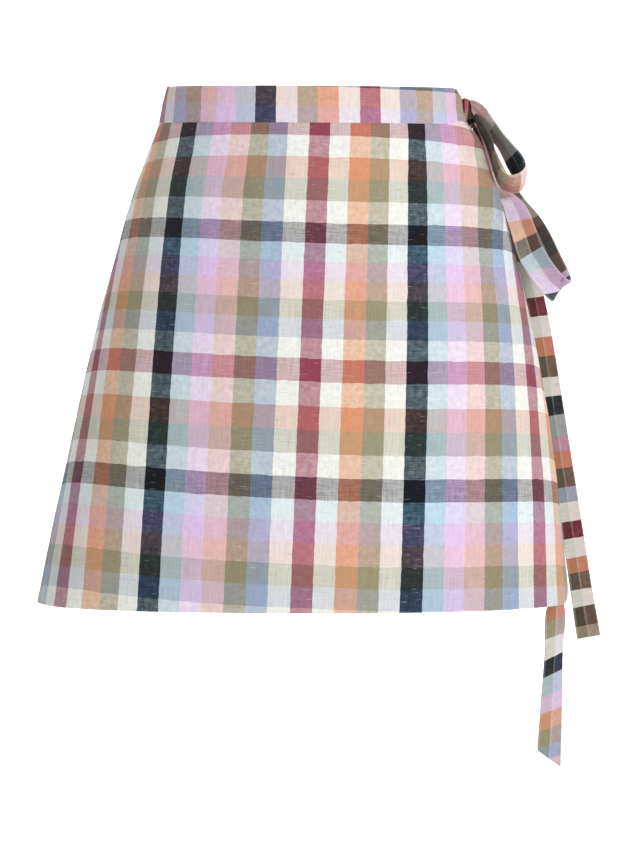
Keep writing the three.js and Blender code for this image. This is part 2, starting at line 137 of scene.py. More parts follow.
LOWER_LOOP = [
    (137.4, -2.6, -3.2, 0.42, 0.9, 0.1, 8, -1),
    (140.7, -5, -11.1, 0.38, 0.92, 0.08, 11, -1),
    (145, -7, -25.3, 0.39, 0.92, 0.06, 14, -1),
    (150.2, -8, -41.5, 0.41, 0.9, 0.1, 16, -1),
    (156.3, -10, -55.7, 0.48, 0.86, 0.17, 19, -0.5),
    (165.2, -25, -71.8, 0.75, 0.62, 0.24, 21, 0),
    (170.4, -44, -90.9, 0.88, 0.4, 0.27, 21, 0),
    (176.4, -53, -111.6, 0.89, 0.18, 0.42, 21, 0),
    (184.2, -64, -127, 0.88, 0.12, 0.46, 21, 0),
    (191.7, -70, -137.8, 0.8, 0.08, 0.6, 21, 0),
    (198, -68, -143, 0.68, 0.06, 0.73, 21, 0),
    (198, -60, -136.5, 0.68, 0.12, 0.72, 21, 0),
    (193, -46, -119.5, 0.74, 0.4, 0.54, 21, 0),
    (186.5, -31, -99.7, 0.74, 0.53, 0.41, 21, 0),
    (179, -12, -80.6, 0.78, 0.55, 0.3, 20, 0),
    (170, 3, -64.4, 0.74, 0.63, 0.23, 18, 0),
    (160, 16, -43.7, 0.61, 0.76, 0.22, 15, 0),
    (149.4, 16.5, -20.4, 0.63, 0.75, 0.21, 11, 0),
    (138.9, 6.4, 1.5, 0.42, 0.9, 0.1, 7, 0),
]
OUTER_TAIL = [
    (135, -1.6, -4.5, 0.42, 0.9, 0.1, 8, 0.5),
    (142, 1, -18.7, 0.42, 0.9, 0.14, 12, 0.5),
    (149.8, 0.9, -45.3, 0.39, 0.91, 0.1, 16, 0.5),
    (159.7, -1.2, -73.5, 0.51, 0.85, 0.14, 18, 0.5),
    (171.3, -4, -104.1, 0.67, 0.73, 0.17, 20, 0.5),
    (180.2, -7, -130.9, 0.75, 0.64, 0.17, 20, 0.6),
    (187.8, -9, -165.1, 0.78, 0.61, 0.17, 20, 0.6),
    (200.3, -13, -245.5, 0.82, 0.55, 0.17, 20, 0.6),
    (210.3, -15, -311.7, 0.85, 0.5, 0.17, 20, 0.6),
    (221.6, -17, -388.5, 0.89, 0.43, 0.17, 20, 0.6),
    (227.5, -18, -426.2, 0.95, 0.28, 0.14, 20, 0.6),
]
INNER_TAIL_START = (131.4, -2, -4.4, 0.1, 0.99, 0, 8, 0)
INNER_TAIL_ON_LAP = [
    {"angle": 90.5, "level": -18, "width": 11, "arch": -0.3},
    {"angle": 90, "level": -40, "width": 16, "arch": -0.4},
    {"angle": 87, "level": -110, "width": 20, "arch": -0.4},
    {"angle": 84.5, "level": -200, "width": 20, "arch": -0.4},
    {"angle": 82, "level": -300, "width": 20, "arch": -0.4},
    {"angle": 80.5, "level": -355, "width": 20, "arch": -0.4},
    {"angle": 80, "level": -382, "width": 20, "arch": -0.4},
]
INNER_TAIL_STAND_OFF = 1.7
INNER_TAIL_FREE = [
    (194.6, -70, -402, 0.77, 0.61, 0.17, 20, -0.4),
    (193.2, -71, -432, 0.73, 0.66, 0.18, 20, -0.4),
    (191.6, -69.5, -472, 0.84, 0.52, 0.14, 20, -0.4),
    (190.1, -67.5, -512, 0.93, 0.35, 0.1, 20, -0.4),
    (189.9, -67.3, -519.3, 0.94, 0.34, 0.1, 20, -0.4),
]
INNER_TAIL_CUT = 13.5  # its end is cut on the slant, this much longer at the far side
FRONT_ROOT = [
    (124.6, -19.4, 8.5, 0, 0, 1, 18, 0),
    (127.5, -16.7, 8.5, 0, 0, 1, 17, 0),
    (131.8, -11.3, 6.5, 0, 0, 1, 9, 0),
    (133, -7, 6, 0, 0, 1, 8, 0),
]
SIDE_ROOT = [
    (123.6, 15.6, 11, 0, 0, 1, 22, 0),
    (126.6, 12.9, 11, 0, 0, 1, 21, 0),
    (132, 6.5, 11, 0, 0, 1, 14, 0),
    (133.6, 2, 10, 0, 0, 1, 12, 0),
]

# -------- fineness of the meshes

PANEL_STEP = 2.6
BAND_STEP = 2.0
TIE_STEP = 1.6
ANGLE_SAMPLES = 3000
PANEL_MIDDLE = -220  # a panel's columns are evenly spaced at this level
BAND_MIDDLE = 14
EDGE_STEP = 0.5  # the last line of a grid lies this close to its edge
TIE_LINES = 12
RIM_TURNS = 4

# -------- creases

# Soft creases of the body: where on it, how far its line turns from upright (degrees, clockwise as seen
# from outside), half its length, half its width and its height in millimetres (a trough is below zero).
CREASE_KEYS = ("angle", "level", "turn", "long", "wide", "high")
FRONT_CREASES = [
    # under the waist seam
    (-72, -20, 8, 15, 5, 1.0),
    (-66, -22, -6, 18, 4, -0.9),
    (-58, -24, 14, 12, 4, 0.7),
    (-40, -18, -4, 11, 3.5, 0.5),
    (-27, -20, 9, 10, 4, -0.45),
    (-12, -19, -8, 10, 3, 0.4),
    (6, -20, 4, 12, 4, -0.4),
    (19, -21, 12, 10, 3, 0.45),
    (33, -22, -10, 14, 4.5, 0.8),
    (40, -24, 6, 16, 4, -0.9),
    (46, -20, 84, 12, 5, 0.9),
    (51, -27, 80, 14, 4, -0.8),
    # drawn towards the knot
    (66, -22, 52, 19, 4.5, 1.7),
    (64, -31, 46, 21, 5, -1.5),
    (71, -30, 26, 22, 4, 1.2),
    (57, -44, 48, 26, 8, 0.8),
    (70, -56, 14, 26, 5, -0.8),
    # down the front
    (-80, -120, 6, 70, 9, 0.9),
    (-70, -210, -5, 80, 13, -0.9),
    (-46, -260, 4, 90, 16, 1.0),
    (-33, -150, 10, 55, 12, -0.6),
    (-20, -310, -3, 75, 15, 0.8),
    (-6, -230, 6, 60, 12, -0.6),
    (4, -120, -12, 45, 11, 0.5),
    (15, -330, 5, 60, 14, 0.9),
    (26, -200, -6, 70, 13, 0.6),
    (37, -300, 7, 85, 14, -0.9),
    (50, -180, -9, 60, 11, 0.8),
    (59, -320, 4, 65, 12, 1.0),
    (66, -240, -4, 70, 9, -0.8),
    # short ones across
    (-52, -96, 78, 17, 5, -0.4),
    (-30, -72, 96, 14, 4, 0.35),
    (-10, -168, 84, 19, 5, 0.4),
    (22, -128, 98, 16, 5, -0.4),
    (33, -252, 82, 15, 4, 0.35),
    (-62, -296, 97, 15, 5, 0.4),
    (48, -352, 86, 18, 5, -0.45),
]
BACK_CREASES = [
    (104, -22, -8, 16, 5, 0.9),
    (118, -20, 10, 14, 4, -0.7),
    (131, -24, -5, 18, 5, 0.7),
    (150, -16, 6, 12, 4, -0.5),
    (166, -18, -9, 13, 4, 0.5),
    (184, -15, 5, 12, 4, 0.45),
    (203, -19, -12, 15, 4, -0.6),
    (221, -20, 8, 16, 5, 0.7),
    (243, -24, -6, 18, 5, 0.9),
    (257, -22, 12, 14, 4, -0.8),
    (112, -150, 5, 80, 10, 1.1),
    (139, -240, -6, 90, 14, -1.0),
    (158, -120, 8, 60, 12, 0.7),
    (176, -300, -4, 80, 15, 1.0),
    (192, -180, 7, 70, 13, -0.8),
    (214, -280, -5, 90, 14, 1.1),
    (236, -160, 6, 70, 11, -0.9),
    (252, -320, -7, 70, 12, 1.0),
    (147, -90, 84, 18, 5, -0.4),
    (208, -110, 97, 17, 5, 0.4),
    (228, -230, 80, 16, 5, -0.4),
    (170, -215, 95, 19, 5, 0.4),
]
UNDER_CREASES = [
    (0, -120, 6, 70, 12, 0.8),
    (22, -240, -5, 90, 14, -0.9),
    (44, -150, 7, 60, 11, 0.7),
    (61, -310, -6, 70, 13, 0.9),
    (80, -200, 4, 80, 10, -0.7),
]
BAND_CREASES = [
    (-84, 14, 12, 9, 4, 0.45),
    (-61, 13, -14, 10, 3.5, -0.35),
    (-33, 5, 84, 12, 3, 0.25),
    (-9, 10, 15, 9, 4, -0.25),
    (14, 8, 82, 14, 3, 0.25),
    (38, 11, -16, 10, 4, 0.3),
    (56, 13, 24, 12, 4, -0.5),
    (66, 15, 40, 14, 4, 0.7),
    (73, 12, 30, 13, 3.5, -0.6),
]
BACK_BAND_CREASES = [
    (112, 16, 20, 10, 4, 0.5),
    (137, 15, -12, 10, 4, -0.35),
    (168, 15, 82, 14, 3, 0.3),
    (196, 15, 14, 10, 4, 0.35),
    (226, 14, -16, 10, 4, -0.35),
    (251, 14, 10, 9, 4, 0.4),
]
RIPPLE = 0.22  # slight unevenness of cloth everywhere

# -------- the check

BAND_PITCH = 16.85  # one colour of the warp
WEFT_WIDE = 18.2
WEFT_FINE = 15.8
WARP_RUN = [(name, BAND_PITCH) for name in (
    "navy", "sky", "lilac", "blush", "sage", "peri", "cream", "maroon", "cream", "coral", "olive", "cream",
)]
WEFT_RUN = [
    *((name, WEFT_WIDE) for name in ("cream", "coral", "olive", "cream")), ("navy", WEFT_WIDE - 1),
    *((name, WEFT_FINE) for name in ("sky", "lilac", "blush", "sage", "peri", "cream")), ("maroon", WEFT_WIDE),
]
MAROON_MIDDLE = 7.5 * BAND_PITCH  # from the start of the warp's run
WEFT_START = 16.4  # the weft's run starts this far under the waist seam at centre front

# Some tie colours here are no yarns of the cloth: the near-black brown, the dark plum and the dark pine green are
# painted shade, and the pale pink is painted light.
WARP_YARN = {
    "navy": "#0c1e2a", "sky": "#bcd1dc", "lilac": "#e7ceec", "blush": "#e4c2c0", "sage": "#a09a84",
    "peri": "#a3b1c6", "cream": "#eeeee8", "maroon": "#a66674", "coral": "#e2aa88", "olive": "#aca68e",
    "rose": "#d89396", "painted_shade_plum": "#5c4644", "bark": "#665a4c", "painted_shadow": "#33302c", "painted_shade_pine": "#38463f",
    "clay": "#b08372", "wine": "#6a2638", "terra": "#d08a70", "mist": "#a2b2b3",
    "mauve": "#c898b4", "painted_light_pink": "#f6caca", "haze": "#a0a8a4", "moss": "#55503f",
}
WEFT_YARN = {
    "navy": "#181626", "sky": "#c0deee", "lilac": "#d4b6e0", "blush": "#deb0ac", "sage": "#8c876c",
    "peri": "#9aa6be", "cream": "#eeeee8", "maroon": "#88384e", "coral": "#ca886e", "olive": "#8c8c74",
    "umber": "#74585a",
}

# -------- numbers


def smooth(x, low, high):
    """0 below low, 1 above high, and a soft step between."""
    t = np.clip((np.asarray(x, float) - low) / (high - low), 0, 1)
    return t * t * (3 - 2 * t)


def column(rows, key, level):
    """One column of a table at a level, on a smooth curve through its rows."""
    place = np.array([row["level"] for row in rows], float)
    value = np.array([row[key] for row in rows], float)
    down = -1 if place[0] > place[-1] else 1
    place = place * down
    slope = np.empty_like(value)
    slope[1:-1] = (value[2:] - value[:-2]) / (place[2:] - place[:-2])
    slope[0] = (value[1] - value[0]) / (place[1] - place[0])
    slope[-1] = (value[-1] - value[-2]) / (place[-1] - place[-2])
    at = np.clip(np.asarray(level, float) * down, place[0], place[-1])
    k = np.clip(np.searchsorted(place, at) - 1, 0, len(place) - 2)
    span = place[k + 1] - place[k]
    t = (at - place[k]) / span
    return (
        (2 * t**3 - 3 * t**2 + 1) * value[k]
        + (t**3 - 2 * t**2 + t) * span * slope[k]
        + (3 * t**2 - 2 * t**3) * value[k + 1]
        + (t**3 - t**2) * span * slope[k + 1]
    )


def unit(vectors):
    """The same directions, each one long."""
    return vectors / np.maximum(np.linalg.norm(vectors, axis=-1, keepdims=True), 1e-9)


def run_lengths(points, axis):
    """How far along its line each point of a grid lies."""
    step = np.linalg.norm(np.diff(points, axis=axis), axis=-1)
    start = np.zeros_like(np.take(step, [0], axis=axis))
    return np.concatenate([start, np.cumsum(step, axis=axis)], axis=axis)


def spaced(length, step):
    """Places from 0 to 1 about step apart, with one more close to each end."""
    inner = np.linspace(0, 1, max(3, int(math.ceil(length / step))) + 1)
    edge = EDGE_STEP / length
    return np.unique(np.concatenate([inner, [edge, 1 - edge]]))


def at_angle(value, angle, wanted):
    """The value at one angle, on each row of a grid over the body."""
    return np.array([np.interp(wanted, angle[:, j], value[:, j]) for j in range(angle.shape[1])])


# -------- the body's form


def section(angle, level):
    """Point of the outer cloth face and its level outward direction."""
    angle, level = np.broadcast_arrays(np.asarray(angle, float), np.asarray(level, float))
    side = column(SECTIONS, "side", level)
    s = np.sin(np.radians(angle))
    c = np.cos(np.radians(angle))
    reach = np.where(s < 0, column(SECTIONS, "left", level), column(SECTIONS, "right", level))
    depth = np.where(c > 0, column(SECTIONS, "front", level) + side, column(SECTIONS, "back", level) - side)
    square = np.where(c > 0, column(SECTIONS, "square", level), BACK_SQUARE)
    across = np.abs(s) ** (2 / square)
    along = np.abs(c) ** (2 / square)
    point = np.stack([np.sign(s) * reach * across, side - np.sign(c) * depth * along, level], -1)
    out = np.stack([
        np.sign(s) * across ** (square - 1) / reach,
        -np.sign(c) * along ** (square - 1) / depth,
        np.zeros_like(reach),
    ], -1)
    return point, unit(out)


def fold_height(angle, level):
    fall = np.clip(level / HEM_LEVEL, 0, 1) ** FOLD_ONSET
    height = np.zeros(np.shape(angle))
    for fold in FOLDS:
        t = np.minimum(np.abs(angle - fold["at"]) / fold["half"], 2)
        height += fold["height"] * fall * np.cos(t * math.pi / 4) ** 2
    return height


def on_body(angle, level, inset):
    point, out = section(angle, level)
    folded = (angle + 450) % 360 - 90
    return point + out * (fold_height(folded, level) - inset)[..., None]


def waist_seam(angle):
    c = np.cos(np.radians(angle))
    return -np.where(c > 0, FRONT_DIP, BACK_RISE) * c - SIDE_DIP * np.sin(np.radians(angle))


def lap_lift(angle, level):
    return column(LIFTS, "lift", level) * smooth(angle, LIFT_START, FREE_EDGE)


def lap_inset(level):
    return LAP_INSET_WAIST + (LAP_INSET_HEM - LAP_INSET_WAIST) * np.clip(level / HEM_LEVEL, 0, 1)


def side_blend(angle):
    return 1 - smooth(angle, RIGHT_SEAM, INSET_FADE_END)


def even_angles(start, end, level, step):
    """Angles whose points on the body lie evenly spaced."""
    fine = np.linspace(start, end, ANGLE_SAMPLES)
    run = run_lengths(section(fine, level)[0], 0)
    return np.interp(spaced(run[-1], step) * run[-1], run, fine)


def crease_height(creases, angle, level, across):
    """Height of the listed creases. across is each point's distance round the body, on its own row."""
    height = np.zeros(np.shape(angle))
    for row in creases:
        crease = dict(zip(CREASE_KEYS, row))
        middle = at_angle(across, angle, crease["angle"])
        turn = math.radians(crease["turn"])
        east = across - middle[None, :]
        north = level - crease["level"]
        along = east * math.sin(turn) + north * math.cos(turn)
        beside = east * math.cos(turn) - north * math.sin(turn)
        reach = np.cos(np.clip(along / crease["long"], -1, 1) * math.pi / 2) ** 2
        height += crease["high"] * reach * np.exp(-((beside / crease["wide"]) ** 2))
    return height


def ripple(across, level, seed):
    """Slight unevenness, from a few long waves in set directions."""
    random = np.random.default_rng(seed)
    height = np.zeros(np.shape(across))
    for _ in range(14):
        length = random.uniform(28, 95)
        way = random.uniform(-0.9, 0.9)
        start = random.uniform(0, 2 * math.pi)
        wave = across * math.cos(way) + level * math.sin(way)
        height += RIPPLE * random.uniform(0.4, 1) * np.sin(wave * 2 * math.pi / length + start)
    return height / 2


# -------- meshes


def grid_normals(points):
    along = np.gradient(points, axis=0)
    down = np.gradient(points, axis=1)
    return unit(np.cross(down, along))


def edge_ring(columns, rows):
    """The grid's edge points in order, all the way round."""
    ring = [(i, 0) for i in range(columns)]
    ring += [(columns - 1, j) for j in range(1, rows)]
    ring += [(i, rows - 1) for i in range(columns - 2, -1, -1)]
    ring += [(0, j) for j in range(rows - 2, 0, -1)]
    return np.array(ring)


def edge_directions(points, normals, ring):
    """At each edge point, the way off the cloth."""
    off = np.zeros((len(ring), 3))
    last = (points.shape[0] - 1, points.shape[1] - 1)
    for k, (i, j) in enumerate(ring):
        here = points[i, j]
        if i == 0:
            off[k] += unit(here - points[1, j])
        if i == last[0]:
            off[k] += unit(here - points[i - 1, j])
        if j == 0:
            off[k] += unit(here - points[i, 1])
        if j == last[1]:
            off[k] += unit(here - points[i, j - 1])
    normal = normals[ring[:, 0], ring[:, 1]]
    off -= normal * np.sum(off * normal, axis=1, keepdims=True)
    return unit(off)


def cloth_shell(outer, cloth_place, thick):
    """A closed sheet with rounded edges: its vertices, its faces, and each vertex's place in the weave.

    outer[i, j] is a point of its outer face, and cloth_place[i, j] that point's place in the weave.
    """
    columns, rows = outer.shape[:2]
    normals = grid_normals(outer)
    inner = outer - normals * thick
    ring = edge_ring(columns, rows)
    off = edge_directions(outer, normals, ring)
    edge = (ring[:, 0], ring[:, 1])
    middle = (outer[edge] + inner[edge]) / 2
    count = columns * rows
    vertices = [outer.reshape(-1, 3), inner.reshape(-1, 3)]
    places = [cloth_place.reshape(-1, 2), cloth_place.reshape(-1, 2)]
    rings = [ring[:, 0] * rows + ring[:, 1]]
    for k in range(1, RIM_TURNS):
        turn = math.pi * k / RIM_TURNS
        rounded = middle + (normals[edge] * math.cos(turn) + off * math.sin(turn)) * thick / 2
        rings.append(2 * count + (k - 1) * len(ring) + np.arange(len(ring)))
        vertices.append(rounded)
        places.append(cloth_place[edge])
    rings.append(rings[0] + count)
    number = np.arange(count).reshape(columns, rows)
    a, b, c, d = number[:-1, :-1], number[:-1, 1:], number[1:, 1:], number[1:, :-1]
    faces = [np.stack([a, b, c, d], -1).reshape(-1, 4), np.stack([a, d, c, b], -1).reshape(-1, 4) + count]
    for near, far in zip(rings[:-1], rings[1:]):
        faces.append(np.stack([near, np.roll(near, -1), np.roll(far, -1), far], -1))
    return np.concatenate(vertices), np.concatenate(faces).tolist(), np.concatenate(places)


def add_object(name, data):
    made = bpy.data.objects.new(name, data)
    bpy.context.scene.collection.objects.link(made)
    return made


def add_mesh(name, vertices, faces, material):
    mesh = bpy.data.meshes.new(name)
    mesh.from_pydata(vertices, [], faces)
    mesh.polygons.foreach_set("use_smooth", [True] * len(faces))
    mesh.materials.append(material)
    return add_object(name, mesh)


def make_piece(name, parts, material):
    """One object from shells. Its UV map holds the place in the weave, in centimetres."""
    vertices, faces, places = [], [], []
    base = 0
    for part_vertices, part_faces, part_places in parts:
        vertices.append(part_vertices)
        faces += [[corner + base for corner in face] for face in part_faces]
        places.append(part_places)
        base += len(part_vertices)
    piece = add_mesh(name, (np.concatenate(vertices) * MM).tolist(), faces, material)
    weave = piece.data.uv_layers.new(name="weave")
    corners = np.array([corner for face in faces for corner in face])
    corner_place = (np.concatenate(places) / 10)[corners]
    weave.data.foreach_set("uv", corner_place.astype(np.float32).reshape(-1))
    piece.data.update()
    return piece


# -------- materials


class Graph:
    """Adds and joins shader nodes with few words."""

    def __init__(self, name):
        self.material = bpy.data.materials.new(name)
        self.material.use_nodes = True
        self.tree = self.material.node_tree
        self.tree.nodes.clear()

    def node(self, kind, inputs=None, **settings):
        made = self.tree.nodes.new("ShaderNode" + kind)
        for key, value in settings.items():
            setattr(made, key, value)
        for key, value in (inputs or {}).items():
            self.feed(made.inputs[key], value)
        return made

    def feed(self, socket, value):
        if isinstance(value, bpy.types.NodeSocket):
            self.tree.links.new(value, socket)
        else:
            socket.default_value = value

    def math(self, operation, a, b=0.0, c=0.0, clamp=False):
        made = self.node("Math", operation=operation, use_clamp=clamp)
        for socket, value in zip(made.inputs, (a, b, c)):
            self.feed(socket, value)
        return made.outputs[0]

    def vector(self, x, y, z=0.0):
        return self.node("CombineXYZ", {"X": x, "Y": y, "Z": z}).outputs[0]

    def noise(self, vector, scale, detail=2.0, roughness=0.5):
        made = self.node("TexNoise", {"Vector": vector, "Scale": scale, "Detail": detail, "Roughness": roughness})
        return made.outputs["Fac"]

    def grey(self, value):
        return self.node("CombineColor", {"Red": value, "Green": value, "Blue": value}).outputs[0]

    def vector_math(self, operation, a, b):
        made = self.node("VectorMath", operation=operation)
        for socket, value in zip(made.inputs, (a, b)):
            self.feed(socket, value)
        return made.outputs[0]

    def spread(self, value, low, high, to_low=0.0, to_high=1.0):
        made = self.node("MapRange", {
            "Value": value, "From Min": low, "From Max": high, "To Min": to_low, "To Max": to_high,
        })
        return made.outputs[0]

    def mix(self, factor, a, b, blend="MIX"):
        made = self.node("Mix", data_type="RGBA", blend_type=blend)
        self.feed(made.inputs[0], factor)
        self.feed(made.inputs[6], a)
        self.feed(made.inputs[7], b)
        return made.outputs[2]

    def finished(self, surface):
        self.node("OutputMaterial", {"Surface": surface.outputs[0]})
        return self.material


def hex_colour(text):
    """The colour's three parts as written, from 0 to 1, before any gamma."""
    return tuple(int(text[k:k + 2], 16) / 255 for k in (1, 3, 5)) + (1.0,)


def band_ramp(graph, place, run, yarn):
    """The yarn colour at a place (centimetres) along a repeated run of bands."""
    total = sum(width for _, width in run) / 10
    part = graph.math("FRACT", graph.math("DIVIDE", place, total))
    ramp = graph.node("ValToRGB", {"Fac": part})
    ramp.color_ramp.interpolation = "CONSTANT"
    start = 0.0
    for k, (name, width) in enumerate(run):
        stops = ramp.color_ramp.elements
        stop = stops[k] if k < 2 else stops.new(start)
        stop.position = start
        stop.color = hex_colour(yarn[name])
        start += width / 10 / total
    return ramp.outputs["Color"]


THREADS = 17.0  # per centimetre
TIE_HALF = 20  # the tie's two halves lie on different weft bands, each at least this wide in the cloth
GAMMA = 2.2
WHITE = (1, 1, 1)
CROSSING_DEPTH = (0.5, 0.5, 0.5)  # how much deeper the colour is where two dark yarns cross
PALE_SLUB = (0.93, 0.88, 0.83, 1)
DARK_SLUB = (0.28, 0.22, 0.24, 1)
# painted highlight: the pale colour of the line on a tie's crease and edges, and how strongly it shows
PAINTED_HIGHLIGHT = (0.93, 0.88, 0.84, 1)
HIGHLIGHT_STRENGTH = 0.3


def check_cloth(name, warp_run, weft_run, mix=0.3, slub=1.0, seed=0.0, painted_light_tone=1.0, tie=False):
    """A slubby plain weave. The UV map's first part runs across the warp's bands and its second across the weft's.

    mix is the weft's share of the colour, and slub the strength of the uneven yarns. A tie's cloth has a painted
    highlight, a pale line along its middle crease and its edges.
    """
    g = Graph(name)
    weave = g.node("UVMap", uv_map="weave").outputs["UV"]
    split = g.node("SeparateXYZ", {"Vector": weave})
    u, v = split.outputs["X"], split.outputs["Y"]

    def streaks(along_u, along_v, shift, detail, scale=1.0):
        place = g.vector(g.math("MULTIPLY", u, along_u), g.math("MULTIPLY", v, along_v), seed + shift)
        return g.noise(place, scale, detail)

    # band edges wander a little, as the yarns do
    drift_u = g.spread(streaks(0.7, 1, 0, 3, 1.1), 0.25, 0.75, -0.035, 0.035)
    drift_v = g.spread(streaks(1, 0.7, 5, 3, 1.1), 0.25, 0.75, -0.05, 0.05)
    warp = band_ramp(g, g.math("ADD", u, drift_u), warp_run, WARP_YARN)
    weft = band_ramp(g, g.math("ADD", v, drift_v), weft_run, WEFT_YARN)

    # threads over and under each other
    across = g.math("SINE", g.math("MULTIPLY", u, math.pi * THREADS))
    down = g.math("SINE", g.math("MULTIPLY", v, math.pi * THREADS))
    crossing = g.math("MULTIPLY", across, down)

    # yarns of uneven thickness: long streaks along each
    warp_streak = streaks(11, 0.5, 0, 2)
    weft_streak = streaks(0.55, 12, 9, 3)
    mottle = g.noise(g.vector(u, v, seed + 3), 2.6, 4, 0.6)
    share = g.math("MULTIPLY_ADD", crossing, 0.018, mix)
    share = g.math("ADD", share, g.spread(weft_streak, 0.3, 0.7, -0.08 * slub, 0.09 * slub))
    share = g.math("ADD", share, g.spread(warp_streak, 0.3, 0.7, 0.05, -0.05))
    share = g.math("ADD", share, g.spread(mottle, 0.3, 0.7, -0.08, 0.08), clamp=True)
    colour = g.mix(share, warp, weft)

    # where both yarns are dark, no light one shows between them
    missing_warp = g.vector_math("SUBTRACT", WHITE, warp)
    missing_weft = g.vector_math("SUBTRACT", WHITE, weft)
    both = g.vector_math("MULTIPLY", g.vector_math("MULTIPLY", missing_warp, missing_weft), CROSSING_DEPTH)
    colour = g.vector_math("MULTIPLY", colour, g.vector_math("SUBTRACT", WHITE, both))

    # slubs: short thick places in the weft, some pale and some dark
    pale_slub = g.spread(streaks(0.95, 15, 21, 1), 0.675, 0.76)
    dark_slub = g.spread(streaks(0.8, 14, 37, 1), 0.71, 0.79)
    colour = g.mix(g.math("MULTIPLY", pale_slub, 0.5 * slub), colour, PALE_SLUB)
    colour = g.mix(g.math("MULTIPLY", dark_slub, 0.3 * slub), colour, DARK_SLUB)

    if tie:
        # painted highlight: a pale line along the middle crease and the edges, where light catches the folds
        beside = g.math("ABSOLUTE", g.math("SUBTRACT", v, TIE_HALF / 10))
        crease_highlight = g.spread(beside, 0.035, 0.07, HIGHLIGHT_STRENGTH, 0)
        edge_highlight = g.spread(beside, 0.93, 0.99, 0, HIGHLIGHT_STRENGTH)
        colour = g.mix(g.math("MAXIMUM", crease_highlight, edge_highlight), colour, PAINTED_HIGHLIGHT)

    # uneven dye, and the slight shade of each thread
    shade = g.math("ADD", g.spread(mottle, 0.25, 0.75, 0.95, 1.04), g.math("MULTIPLY", crossing, 0.012))
    shade = g.math("ADD", shade, g.spread(warp_streak, 0.25, 0.75, -0.03, 0.03))
    # painted light and shade: the tone makes a whole piece's cloth darker or lighter, below 1 on ties that hang in
    # shade
    shade = g.math("MULTIPLY", shade, painted_light_tone)
    colour = g.mix(1.0, colour, g.grey(shade), "MULTIPLY")
    colour = g.node("Gamma", {"Color": colour, "Gamma": GAMMA}).outputs[0]

    relief = g.math("MULTIPLY_ADD", crossing, 0.35, g.math("MULTIPLY", weft_streak, 1.3))
    relief = g.math("ADD", relief, g.math("MULTIPLY", g.math("ADD", pale_slub, dark_slub), 0.7))
    relief = g.math("ADD", relief, g.math("MULTIPLY", warp_streak, 0.8))
    bump = g.node("Bump", {"Height": relief, "Strength": 0.35, "Distance": 0.00022})
    rough = g.spread(weft_streak, 0.3, 0.7, 0.8, 0.92)
    cloth = g.node("BsdfPrincipled", {
        "Base Color": colour, "Roughness": rough, "Normal": bump.outputs[0],
        "Specular IOR Level": 0.25, "Sheen Weight": 0.12, "Sheen Roughness": 0.5,
    })
    return g.finished(cloth)


def plain_matte(name, value):
    """The pale floor, with a trace of unevenness."""
    g = Graph(name)
    place = g.node("TexCoord").outputs["Object"]
    shade = g.spread(g.noise(place, 3.0, 3), 0.3, 0.7, value - 0.01, value + 0.01)
    surface = g.node("BsdfPrincipled", {"Base Color": g.grey(shade), "Roughness": 0.95, "Specular IOR Level": 0.1})
    return g.finished(surface)


# -------- where the weave lies

GRAIN_LEAN = 15.7 / 420  # the warp leans this much to the left on its way down
GRAIN_MIDDLE = 5.8  # at the seam, the maroon band's middle is this far right of centre front

# How far the rows sit from even spacing, by their distance under the waist seam.
ROW_PULL = [
    {"level": 0, "pull": 0},
    {"level": 16, "pull": 0},
    {"level": 91, "pull": 2.1},
    {"level": 122, "pull": 0.3},
    {"level": 170, "pull": -1.8},
    {"level": 200, "pull": -1.7},
    {"level": 250, "pull": 0.2},
    {"level": 310, "pull": -0.2},
    {"level": 390, "pull": 2.8},
]
ROW_DIP = 9.8  # the rows are counted from a line that dips this much at centre front
ROW_TILT = 0.0235  # and that drops this much to the right
ROW_BOW = 8  # near the waist the rows also drop this much at ROW_BOW_AT to either side
ROW_BOW_AT = 140
GATHER = 3.8  # the gathers at the waist draw the bands this far towards the middle
KNOT_DRAW_START = 105  # beyond here the knot draws them outwards again
KNOT_DRAW = 0.0035


def panel_weave(points, angle, centre, lean):
    """Place in the weave over a body panel: across from the middle of the maroon band, down from the seam."""
    across = run_lengths(points[..., :2], 0)
    across = across - at_angle(across, angle, centre)[None, :]
    centre_down = at_angle(run_lengths(points, 1), angle, centre)
    u = across - (GRAIN_MIDDLE - lean * centre_down)[None, :]
    step = np.linalg.norm(np.diff(points, axis=1), axis=-1)
    drop = np.sqrt(np.maximum(step**2 - np.diff(u, axis=1) ** 2, 0))
    v = np.concatenate([np.zeros((len(points), 1)), np.cumsum(drop, axis=1)], axis=1)
    return u, v, across


def front_weave(points, angle):
    u, v, across = panel_weave(points, angle, centre=0, lean=GRAIN_LEAN)
    v = v - ROW_DIP * np.cos(np.radians(angle)) ** 2 - waist_seam(angle)
    near_waist = 1 - smooth(v, 0, 90)
    v = v - ROW_TILT * u - ROW_BOW * (u / ROW_BOW_AT) ** 2 * near_waist
    v = v - column(ROW_PULL, "pull", v)
    u = u - GATHER * smooth(-u, 20, 60) * (1 - smooth(v, 8, 75))
    u = u + GATHER * smooth(u, -10, 110) * (1 - 0.65 * smooth(v, 60, 250))
    beyond = np.maximum(u - KNOT_DRAW_START, 0)
    u = u - KNOT_DRAW * beyond**2 * (1 - smooth(v, 30, 120))
    return u, v, across


# -------- body pieces


def wall_grid(start, end, top, bottom, step, level):
    """Angles and levels over part of the body, evenly spaced."""
    columns = even_angles(start, end, level, step)
    rows = spaced(float(np.max(top(columns) - bottom(columns))), step)
    angle = np.repeat(columns[:, None], len(rows), axis=1)
    levels = top(columns)[:, None] + (bottom(columns) - top(columns))[:, None] * rows[None, :]
    return angle, levels


SEAM_RELIEF = 0.08  # this much of the creases' height is left at the waist seam
SEAM_TUCK = 0.5


